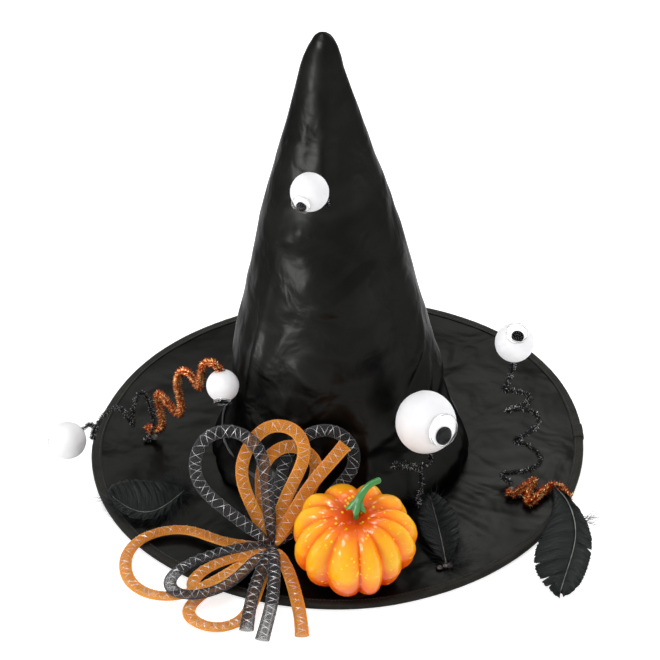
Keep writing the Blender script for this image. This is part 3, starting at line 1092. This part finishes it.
# eye, metal, the line of its stem from the brim to the ball, as (x, y, z)
TINSEL = {
    "right": ("foil_black", "black", ((129, -57, 6), (121, -56, 10), (121, -58, 17), (132, -63, 20), (149, -58, 23),
              (151, -54, 29), (140, -50, 38), (127, -54, 43), (132, -62, 53), (143, -60, 60), (147, -56, 66),
              (142, -51, 70), (127, -51, 73), (119, -57, 73), (128, -62, 80), (139, -58, 84), (138, -53, 87),
              (126, -50, 88), (117, -55, 91), (120, -58, 98), (124, -56, 108), (124, -56, 122))),
    "left": ("foil_orange", "orange", ((-146, 4, 7), (-152, 8, 9.6), (-143, 1, 11), (-137, -3, 15), (-136, -3, 27),
             (-142, 3, 46), (-136, -4, 49), (-129, -10, 42), (-122, -16, 36), (-119, -15, 46), (-125, -10, 66),
             (-119, -16, 83), (-110, -26, 84), (-103, -32, 70), (-105, -26, 86), (-100, -32, 101),
             (-92, -40, 106), (-87, -45, 101))),
    "far_left": ("foil_black", "black", ((-146, -4, 6), (-154, -8, 6), (-145, -2, 7), (-143, 2, 20), (-147, -3, 46),
                 (-151, -8, 58), (-157, -13, 48), (-159, -14, 32), (-157, -11, 21), (-163, -16, 42),
                 (-170, -23, 54), (-179, -30, 49), (-186, -35, 38), (-188, -36, 27), (-184, -32, 38),
                 (-187, -36, 48), (-194, -42, 44))),
    "front": ("foil_black", "black", ((62, -95, 6), (56, -91, 10), (58, -88, 22), (61, -86, 34), (56, -84, 45),
              (44, -84, 47), (35, -89, 49), (45, -96, 53), (58, -93, 50), (66, -90, 54), (64, -94, 64),
              (60, -96, 76))),
    "crown": ("foil_black", "black", ((-10, -37.5, 241), (-10, -44, 244), (-9, -50, 247), (-12, -53, 249),
              (-8, -55, 254), (-14, -57, 258), (-20, -60, 260), (-15, -62, 264), (-12, -65, 266),
              (-18, -70, 268))),
}
COIL_ON_BRIM = ((124, -70, 7.5), (130, -74, 8), (136, -68, 11), (143, -61, 9), (147, -55, 8), (143, -62, 9),
                (138, -76, 8), (139, -85, 7.5), (145, -78, 9), (156, -64, 9), (163, -63, 9), (168, -72, 8),
                (170, -76, 7.5))


def fringe(line, reach, per_mm, wide, seed):
    """Cut foil round a twisted wire: short strips with a quarter twist that leave it every way, each closed."""
    dice = np.random.default_rng(seed)
    count = int(length_of(line) * per_mm)
    at = dice.uniform(0, len(line) - 1.001, count)
    left, part = at.astype(int), (at % 1)[:, None]
    places = line[left] * (1 - part) + line[left + 1] * part
    along = unit(np.gradient(line, axis=0))[left]
    away = dice.normal(size=(count, 3))
    away = unit(away - (away * along).sum(axis=1, keepdims=True) * along + 0.3 * along * dice.normal(size=(count, 1)))
    flat = unit(np.cross(away, dice.normal(size=(count, 3))))
    frames = np.stack([away * (reach * dice.uniform(0.5, 1.1, (count, 1))), flat * wide,
                       np.cross(away, flat) * wide], axis=1)
    spike = np.array(((0.0, -1.0, 0.0), (0.0, 1.0, 0.0), (1.0, 0.0, -0.7), (1.0, 0.0, 0.7)))
    faces = ((0, 2, 1), (0, 1, 3), (0, 3, 2), (1, 2, 3))
    return repeated(spike, faces, places, frames), np.repeat(dice.uniform(0, 1, count), 4)


def tinsel_piece(name, points, metal, body, nodes, reach, seed):
    """One tinsel stem: a two-strand twisted wire and its fringe."""
    count = int(60 + 2.2 * sum(math.dist(a, b) for a, b in zip(points, points[1:])))
    line = spline(points, count)
    run = np.linspace(0, length_of(line), count)
    _, side, out = directions(line, RISING + np.array((0.31, 0.07, 0.11)))
    wires = []
    for start in (0, math.pi):
        turn = (run / 3.0 * 2 * math.pi + start)[:, None]
        strand = line + 0.28 * (np.cos(turn) * side + np.sin(turn) * out)
        wires.append(tube(strand, np.array((0.3, 0.5, 0.8)), 0.3, 5))
    wires = merged(wires)
    spikes, tint = fringe(line, reach, 34, 0.26, seed) if metal == "foil_orange" else \
        fringe(line, reach, 24, 0.17, seed)
    marks = np.concatenate([np.full(len(wires[0]), 0.2), tint])
    return make_piece(name, [wires, spikes], [FINISH["dark_wire"], FINISH[metal]], body, nodes, which=[0, 1],
                      marks={"tint": marks})


def build_tinsel():
    """The five springs, each bending between its foot on the hat and its ball, and the loose coil on the brim."""
    for number, (eye, (metal, slot, points)) in enumerate(TINSEL.items()):
        reach = MM * (sizes().orange_fringe if metal == "foil_orange" else sizes().black_fringe)
        piece = tinsel_piece("tinsel_" + eye, points, metal, None, ("spring_" + eye,), reach,
                             DICE + 30 + number)
        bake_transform(piece)
    tinsel_piece("tinsel_on_brim", COIL_ON_BRIM, "foil_orange", "hat", ("tinsel_coil_orange",),
                 MM * sizes().orange_fringe + 0.6, DICE + 40)


# ---------------------------------------------------------------- feathers

def barbs(line, facing, roots, reach, sweep, droop, seed, wide=0.42, spread=0.12):
    """Barbs off a quill: each leaves at the sweep angle and bends towards the tip, as a tapered three-sided thread.

    roots are shares along the quill, reach gives each barb's length, the sign of sweep the side it grows on.
    """
    dice = np.random.default_rng(seed)
    count, steps = len(roots), 11
    along, side, out = directions(line, facing)
    at = roots * (len(line) - 1.001)
    left, part = at.astype(int), (at % 1)[:, None]
    base = line[left] * (1 - part) + line[left + 1] * part
    forward, sideways, up = along[left], side[left], out[left]
    hand = np.sign(sweep)
    angle = np.radians(np.abs(sweep) + dice.normal(size=count) * 57 * spread)
    bend = np.radians(26) * (1 + 0.3 * dice.normal(size=count))
    step = np.linspace(0, 1, steps)[None]
    way = angle[:, None] - bend[:, None] * step
    move = (np.cos(way)[..., None] * forward[:, None] + hand * np.sin(way)[..., None] * sideways[:, None]
            + (droop[0] + droop[1] * dice.normal(size=(count, 1))[..., None] + droop[2] * step[..., None])
            * up[:, None])
    spine = base[:, None] + np.cumsum(unit(move) * (reach / (steps - 1))[:, None, None], axis=1)
    thick = wide * (1 - 0.75 * step ** 1.5)[..., None]
    across = unit(np.cross(unit(move), up[:, None]))
    edge = np.stack([spine - across * thick, spine + across * thick, spine + up[:, None] * thick * 0.35], axis=2)
    number = np.arange(count * steps * 3).reshape(count, steps, 3)
    turned = np.roll(number, -1, axis=2)
    quads = np.stack([number[:, :-1], turned[:, :-1], turned[:, 1:], number[:, 1:]], axis=-1).reshape(-1, 4)
    caps = np.concatenate([number[:, 0, ::-1], number[:, -1]])
    return edge.reshape(-1, 3), quads, caps


def vane(quill, rim, facing, lead, arch, splits, seed):
    """One side of a feather: a thin closed blade whose every row is a barb that bends from the quill to the rim.

    lead is how far the rim runs ahead of the quill, arch its crown in millimetres, splits (share, width, depth).
    """
    rows, columns = 260, 12
    share = np.linspace(0.015, 0.99, rows)
    root, edge = spline(quill, rows * 2), spline(rim, rows * 2)
    spot = share * (len(root) - 1)
    ahead = share ** lead * (len(edge) - 1)
    foot = np.stack([np.interp(spot, np.arange(len(root)), root[:, axis]) for axis in range(3)], axis=1)
    end = np.stack([np.interp(ahead, np.arange(len(edge)), edge[:, axis]) for axis in range(3)], axis=1)
    dice = np.random.default_rng(seed)
    cut = 1 + 0.012 * np.sin(share * 210 + dice.uniform(0, 6)) + 0.010 * dice.normal(size=rows)
    for at, wide, deep in splits:
        cut -= deep * hill((share - at) / wide)
    span = (end - foot) * np.clip(cut, 0.2, 1.1)[:, None]
    across = np.linspace(0, 1, columns)[None, :, None]
    back = unit(np.gradient(foot, axis=0))[:, None] * np.linalg.norm(span, axis=1)[:, None, None]
    crown = (arch + 0.5 * np.sin(share * 57 + seed) + 0.3 * np.sin(share * 131))[:, None, None]
    blade = foot[:, None] + span[:, None] * across - 0.16 * back * across * (1 - across) * 2 \
        + crown * np.sin(across * math.pi * 0.72) * facing
    skin = 0.16 * facing
    grid = np.concatenate([blade + skin, blade[:, ::-1] - skin], axis=1)
    marks = np.repeat(share * length_of(root), 2 * columns)
    return patch(grid, first=True, last=True), np.concatenate([marks, [marks[0], marks[-1]]])


def feather(name, node, quill, rims, facing, lead, arch, splits, loose, seed, girth=0.7):
    """A feather: a tapered quill between two vanes, with stray barbs along its edges."""
    facing = unit(np.array(facing, float))
    line = spline(quill, 90)
    share = np.linspace(0, 1, 90)
    shaft = tube(line + 0.35 * facing, facing, girth * (1 - 0.72 * share), 8, 0.85)
    patches, marks = [shaft], [np.zeros(len(shaft[0]))]
    for number, rim in enumerate(rims):
        blade, around = vane(quill, rim, facing, lead, arch, splits[number], seed + number)
        patches.append(blade)
        marks.append(around)
    dice = np.random.default_rng(seed)
    for hand, (count, reach) in zip((1, -1), loose):
        strays = barbs(line, facing, dice.uniform(0.02, 0.95, count), reach * dice.uniform(0.6, 1.1, count),
                       hand * 44, (0.03, 0.10, -0.05), seed + 7 * hand, wide=0.10, spread=0.35)
        patches.append(strays)
        marks.append(np.zeros(len(strays[0])))
    make_piece(name, patches, [FINISH["quill"], FINISH["vane"], FINISH["down"]], "hat", (node,),
               which=[0, 1, 1, 2, 2], marks={"barb": np.concatenate(marks)})


def build_feathers():
    """Two smooth goose feathers at the right and the front, and a broad soft one with a marabou tuft at the left."""
    feather("feather_plume_right", "feather_right",
            ((159, -64, 9), (167, -77, 9.5), (171, -98, 10), (171, -120, 10), (166, -141, 9.5), (158, -165, 9),
             (153, -182, 8.5)),
            (((158, -64, 9), (158, -84, 8.5), (152, -107, 8), (140, -132, 7.5), (136, -153, 7), (142, -172, 6.5),
              (153, -187, 6.5)),
             ((160, -64, 9), (172, -84, 10), (180, -108, 10), (182, -131, 9.5), (175, -158, 8.5), (166, -178, 7.5),
              (154, -186, 7))), (0.1, 0.05, 1.0), 0.86, 2.2,
            (((0.66, 0.006, 0.25), (0.80, 0.005, 0.45), (0.87, 0.006, 0.3)), ((0.55, 0.006, 0.3),)),
            ((26, 14.0), (30, 10.0)), DICE + 70, 0.55)
    feather("feather_plume_front", "feather_front",
            ((75, -148, 7), (73, -126, 9), (69, -100, 12), (66, -82, 14)),
            (((74, -148, 7), (62, -132, 8), (55, -110, 10), (57, -91, 12), (65, -78, 14)),
             ((76, -148, 7), (85, -130, 8), (87, -109, 10), (81, -89, 12), (68, -77, 14))), (0.1, -0.3, 1.0), 0.80,
            1.6, (((0.62, 0.008, 0.3),), ((0.4, 0.008, 0.3), (0.75, 0.008, 0.3))), ((50, 20.0), (90, 26.0)),
            DICE + 80, 0.34)
    feather("feather_plume_left", "feather_left",
            ((-117, -68, 7.5), (-130, -88, 8), (-144, -97, 8.5), (-160, -88, 9), (-171, -75, 9)),
            (((-116, -69, 7), (-127, -98, 7.5), (-147, -106, 8), (-163, -95, 8.5), (-173, -76, 9)),
             ((-118, -66, 7.5), (-134, -60, 8.5), (-158, -57, 9), (-172, -63, 9), (-173, -72, 9))),
            (0.0, 0.1, 1.0), 0.84, 1.4, (((0.5, 0.008, 0.3),), ((0.3, 0.008, 0.3), (0.6, 0.008, 0.4))),
            ((90, 12.0), (200, 26.0)), DICE + 90, 0.3)
    build_down()


def build_down():
    """Marabou down: hundreds of fine curling threads that leave a small root every way, and a few long wisps."""
    dice = np.random.default_rng(DICE + 95)
    tufts = []
    for root, count, reach, spread in (((-121, -66, 6), 520, 15.0, 1.0), ((-128, -60, 6), 240, 12.0, 1.0),
                                       ((76, -146, 6), 170, 30.0, 0.7), ((158, -66, 7), 120, 16.0, 0.9),
                                       ((178, -104, 9), 46, 20.0, 0.5)):
        steps = 10
        way = dice.normal(size=(count, 3)) * (1.0, 1.0, 0.45 * spread)
        if root[0] > 170:
            way += (1.6, 0.1, 0.4)
        elif root[0] == 76:
            way += (1.0, 0.5, 0.3)
        way[:, 2] = np.abs(way[:, 2])
        way, turn = unit(way), unit(dice.normal(size=(count, 3)) * (1, 1, 0.5))
        step = np.linspace(0, 1, steps)[None, :, None]
        long = reach * dice.uniform(0.35, 1.0, (count, 1, 1))
        spine = np.array(root, float) + dice.normal(size=(count, 1, 3)) * (2.6, 2.6, 0.6) \
            + long * (way[:, None] * step + 0.5 * turn[:, None] * step ** 2.2)
        spine[..., 2] = np.maximum(spine[..., 2], 5.4 + 0.4 * np.abs(turn[:, None, 0]))
        across = unit(np.cross(way, turn))[:, None] * (0.13 * (1 - 0.7 * step))
        rise = np.cross(way, unit(np.cross(way, turn)))[:, None] * (0.10 * (1 - 0.7 * step))
        edge = np.stack([spine - across, spine + across, spine + rise], axis=2)
        number = np.arange(count * steps * 3).reshape(count, steps, 3)
        turned = np.roll(number, -1, axis=2)
        quads = np.stack([number[:, :-1], turned[:, :-1], turned[:, 1:], number[:, 1:]], axis=-1).reshape(-1, 4)
        tufts.append((edge.reshape(-1, 3), quads, np.concatenate([number[:, 0, ::-1], number[:, -1]])))
    make_piece("marabou_down", [merged(tufts)], [FINISH["down"]], "hat")


def build_glue():
    """The glue that shows: the dabs at the springs' feet, the pads under bow and pumpkin, and a drip at a feather."""
    for node, finish in (("glue_left", "glue"), ("glue_right", "glue"), ("bow_glue", "glue"),
                         ("pumpkin_glue", "dark_glue")):
        for slot in bpy.data.objects[node].material_slots:
            slot.material = FINISH[finish]
    around = np.linspace(0, 2 * math.pi, 48, endpoint=False)[None]
    down = np.linspace(0.02, math.pi - 0.02, 30)[:, None]
    blobs = []
    for place, size in (((76.0, -148.0, 5.6), (4.6, 3.6, 1.8)), ((70.5, -150.5, 5.2), (2.8, 2.4, 1.3))):
        blob = np.stack([np.sin(down) * np.cos(around), np.sin(down) * np.sin(around),
                         np.cos(down) * np.ones_like(around)], axis=-1)
        blob = blob * size * (1 + 0.10 * ripple(blob * 10, 9, DICE + 99))[..., None] + place
        blobs.append(patch(blob, first=True, last=True))
    make_piece("glue_drip_front", blobs, [FINISH["dark_glue"]], "hat")


# ---------------------------------------------------------------- stage

def lamp(name, place, target, size, power, only=None):
    """A round soft lamp that looks at a point; places in metres.

    With only="gloss" it shows in shiny surfaces alone, and with only="matte" in no shiny one.
    """
    light = bpy.data.lights.new(name, "AREA")
    light.shape, light.size, light.energy = "DISK", size, power
    item = bpy.data.objects.new(name, light)
    item.location = place
    item.visible_diffuse = item.visible_camera = only != "gloss"
    item.visible_glossy = only != "matte"
    way = np.array(target, float) - np.array(place, float)
    flat = math.hypot(way[0], way[1])
    item.rotation_euler = (math.atan2(flat, -way[2]), 0.0, math.atan2(way[0], -way[1]) + math.pi)
    bpy.context.scene.collection.objects.link(item)


def build_stage():
    """A pale floor, even soft light and the camera."""
    scene = bpy.context.scene
    scene.view_settings.view_transform = "Standard"
    mesh = bpy.data.meshes.new("floor")
    mesh.from_pydata([(-6, -6, 0), (6, -6, 0), (6, 6, 0), (-6, 6, 0)], [], [(0, 1, 2, 3)])
    floor = bpy.data.objects.new("floor", mesh)
    scene.collection.objects.link(floor)

    # Matte white studio paper: it shows white to the eye and keeps a faint shadow.
    paper = bpy.data.materials.new("studio_paper")
    paper.use_nodes = True
    tree = paper.node_tree
    tree.nodes.clear()
    matte = add(tree, "ShaderNodeBsdfDiffuse", {"Color": linear("e2e2e2")})
    shown = add(tree, "ShaderNodeEmission", {"Color": (1, 1, 1, 1), "Strength": 0.72})
    ray = add(tree, "ShaderNodeLightPath")
    either = add(tree, "ShaderNodeMath", {"operation": "MAXIMUM"}, {0: (ray, "Is Camera Ray"),
                                                                  1: (ray, "Is Transmission Ray")})
    some = add(tree, "ShaderNodeMath", {"operation": "MAXIMUM"}, {0: (either, 0), 1: (ray, "Is Glossy Ray")})
    dark = add(tree, "ShaderNodeEmission", {"Color": (0, 0, 0, 1), "Strength": 0.0})
    glow = add(tree, "ShaderNodeMixShader", {}, {0: (some, 0), 1: (dark, 0), 2: (shown, 0)})
    both = add(tree, "ShaderNodeAddShader", {}, {0: (matte, 0), 1: (glow, 0)})
    add(tree, "ShaderNodeOutputMaterial", {}, {"Surface": (both, 0)})
    mesh.materials.append(paper)

    world = bpy.data.worlds.new("studio")
    scene.world = world
    world.use_nodes = True
    tree = world.node_tree
    tree.nodes.clear()
    ray = add(tree, "ShaderNodeLightPath")
    seen = add(tree, "ShaderNodeMath", {"operation": "MAXIMUM"}, {0: (ray, "Is Camera Ray"),
                                                                1: (ray, "Is Transmission Ray")})
    bright = add(tree, "ShaderNodeMath", {"operation": "MAXIMUM"}, {0: (seen, 0), 1: (ray, "Is Glossy Ray")})
    strength = add(tree, "ShaderNodeMapRange", {"To Min": 0.5, "To Max": 1.0}, {"Value": (bright, 0)})
    sky = add(tree, "ShaderNodeBackground", {"Color": (1, 1, 1, 1)}, {"Strength": (strength, 0)})
    add(tree, "ShaderNodeOutputWorld", {}, {"Surface": (sky, 0)})

    target = (0.0, -0.03, 0.12)
    lamp("key_lamp", (-1.12, -0.85, 0.20), target, 0.42, 9.0)
    lamp("fill_lamp", (1.35, -0.75, 0.36), target, 0.5, 6.5, "matte")
    lamp("edge_lamp", (1.35, -0.75, 0.36), target, 0.5, 2.5)
    lamp("top_lamp", (-0.3, 0.1, 1.7), target, 0.7, 9.0)
    lamp("back_lamp", (0.12, 1.15, 0.95), target, 0.45, 2.6)
    lamp("catch_lamp", (-0.70, -0.56, 1.10), target, 0.6, 17.0, "gloss")
    lamp("sheen_lamp_right", (0.196, 0.30, 0.46), (0.13, -0.19, 0.0), 0.16, 0.6, "gloss")
    lamp("sheen_lamp_left", (-0.217, 0.46, 0.46), (-0.15, -0.08, 0.0), 0.16, 0.3, "gloss")

    camera = bpy.data.cameras.new("camera")
    camera.lens, camera.sensor_width, camera.clip_end = 109.09, 36.0, 20.0
    eye = bpy.data.objects.new("camera", camera)
    eye.location = (-0.00788, -1.2197, 0.9665)
    eye.rotation_euler = (math.radians(54.812), 0.0, 0.0)
    scene.collection.objects.link(eye)
    scene.camera = eye


# ---------------------------------------------------------------- operators

class BuildBrim(bpy.types.Operator):
    """Make the brim's satins, foam and wire"""
    bl_idname = "witch_hat.build_brim"
    bl_label = "Brim"

    def execute(self, context):
        build_brim()
        return {"FINISHED"}


class BuildBinding(bpy.types.Operator):
    """Make the bias tape, its lap and its stitches"""
    bl_idname = "witch_hat.build_binding"
    bl_label = "Binding"

    def execute(self, context):
        build_binding()
        return {"FINISHED"}


class BuildCrown(bpy.types.Operator):
    """Make the satin cone, its lining and its back fold"""
    bl_idname = "witch_hat.build_crown"
    bl_label = "Crown"

    def execute(self, context):
        build_crown()
        return {"FINISHED"}


class BuildSweatband(bpy.types.Operator):
    """Make the band inside the opening"""
    bl_idname = "witch_hat.build_sweatband"
    bl_label = "Sweatband"

    def execute(self, context):
        build_sweatband()
        return {"FINISHED"}


class BuildPumpkin(bpy.types.Operator):
    """Make the lobed pumpkin"""
    bl_idname = "witch_hat.build_pumpkin"
    bl_label = "Pumpkin"

    def execute(self, context):
        build_pumpkin()
        return {"FINISHED"}


class BuildStem(bpy.types.Operator):
    """Make the pumpkin's fluted stem"""
    bl_idname = "witch_hat.build_stem"
    bl_label = "Pumpkin stem"

    def execute(self, context):
        build_stem()
        return {"FINISHED"}


class BuildBow(bpy.types.Operator):
    """Make the loops and tails of mesh tube with their silver thread"""
    bl_idname = "witch_hat.build_bow"
    bl_label = "Bow"

    def execute(self, context):
        build_bow()
        return {"FINISHED"}


class BuildKnot(bpy.types.Operator):
    """Make the thread wound round the bow"""
    bl_idname = "witch_hat.build_knot"
    bl_label = "Bow knot"

    def execute(self, context):
        build_knot()
        return {"FINISHED"}


class BuildEyes(bpy.types.Operator):
    """Make the foam balls and finish their lenses"""
    bl_idname = "witch_hat.build_eyes"
    bl_label = "Eyes"

    def execute(self, context):
        build_eyes()
        return {"FINISHED"}


class BuildTinsel(bpy.types.Operator):
    """Make the tinsel springs and the loose coil"""
    bl_idname = "witch_hat.build_tinsel"
    bl_label = "Tinsel springs"

    def execute(self, context):
        build_tinsel()
        return {"FINISHED"}


class BuildFeathers(bpy.types.Operator):
    """Make the feathers and the down"""
    bl_idname = "witch_hat.build_feathers"
    bl_label = "Feathers"

    def execute(self, context):
        build_feathers()
        return {"FINISHED"}


class BuildGlue(bpy.types.Operator):
    """Make the glue that shows"""
    bl_idname = "witch_hat.build_glue"
    bl_label = "Glue"

    def execute(self, context):
        build_glue()
        return {"FINISHED"}


class BuildStage(bpy.types.Operator):
    """Make the floor, the lamps and the camera"""
    bl_idname = "witch_hat.build_stage"
    bl_label = "Floor, lamps and camera"

    def execute(self, context):
        build_stage()
        return {"FINISHED"}


class WitchHatPanel(bpy.types.Panel):
    """The hat's pieces, in the order they are made"""
    bl_idname = "VIEW3D_PT_witch_hat"
    bl_label = "Witch hat"
    bl_space_type = "VIEW_3D"
    bl_region_type = "UI"
    bl_category = "Witch hat"

    def draw(self, context):
        for title, group in (("Sizes", context.scene.witch_hat_sizes), ("Colours", context.scene.witch_hat_colours)):
            part = self.layout.box()
            part.label(text=title)
            for name in type(group).__annotations__:
                part.prop(group, name)
        for piece in PIECES:
            self.layout.operator(piece.bl_idname)


PIECES = (BuildBrim, BuildBinding, BuildCrown, BuildSweatband, BuildPumpkin, BuildStem, BuildBow, BuildKnot,
          BuildEyes, BuildTinsel, BuildFeathers, BuildGlue, BuildStage)
CLASSES = (WitchHatSizes, WitchHatColours, *PIECES, WitchHatPanel)


def register():
    for item in CLASSES:
        bpy.utils.register_class(item)
    bpy.types.Scene.witch_hat_sizes = bpy.props.PointerProperty(type=WitchHatSizes)
    bpy.types.Scene.witch_hat_colours = bpy.props.PointerProperty(type=WitchHatColours)


def unregister():
    del bpy.types.Scene.witch_hat_sizes, bpy.types.Scene.witch_hat_colours
    for item in reversed(CLASSES):
        bpy.utils.unregister_class(item)


def main():
    """Make every piece in order."""
    register()
    FINISH.update(make_materials())
    for piece in PIECES:
        group, name = piece.bl_idname.split(".")
        getattr(getattr(bpy.ops, group), name)()


if __name__ == "__main__":
    main()
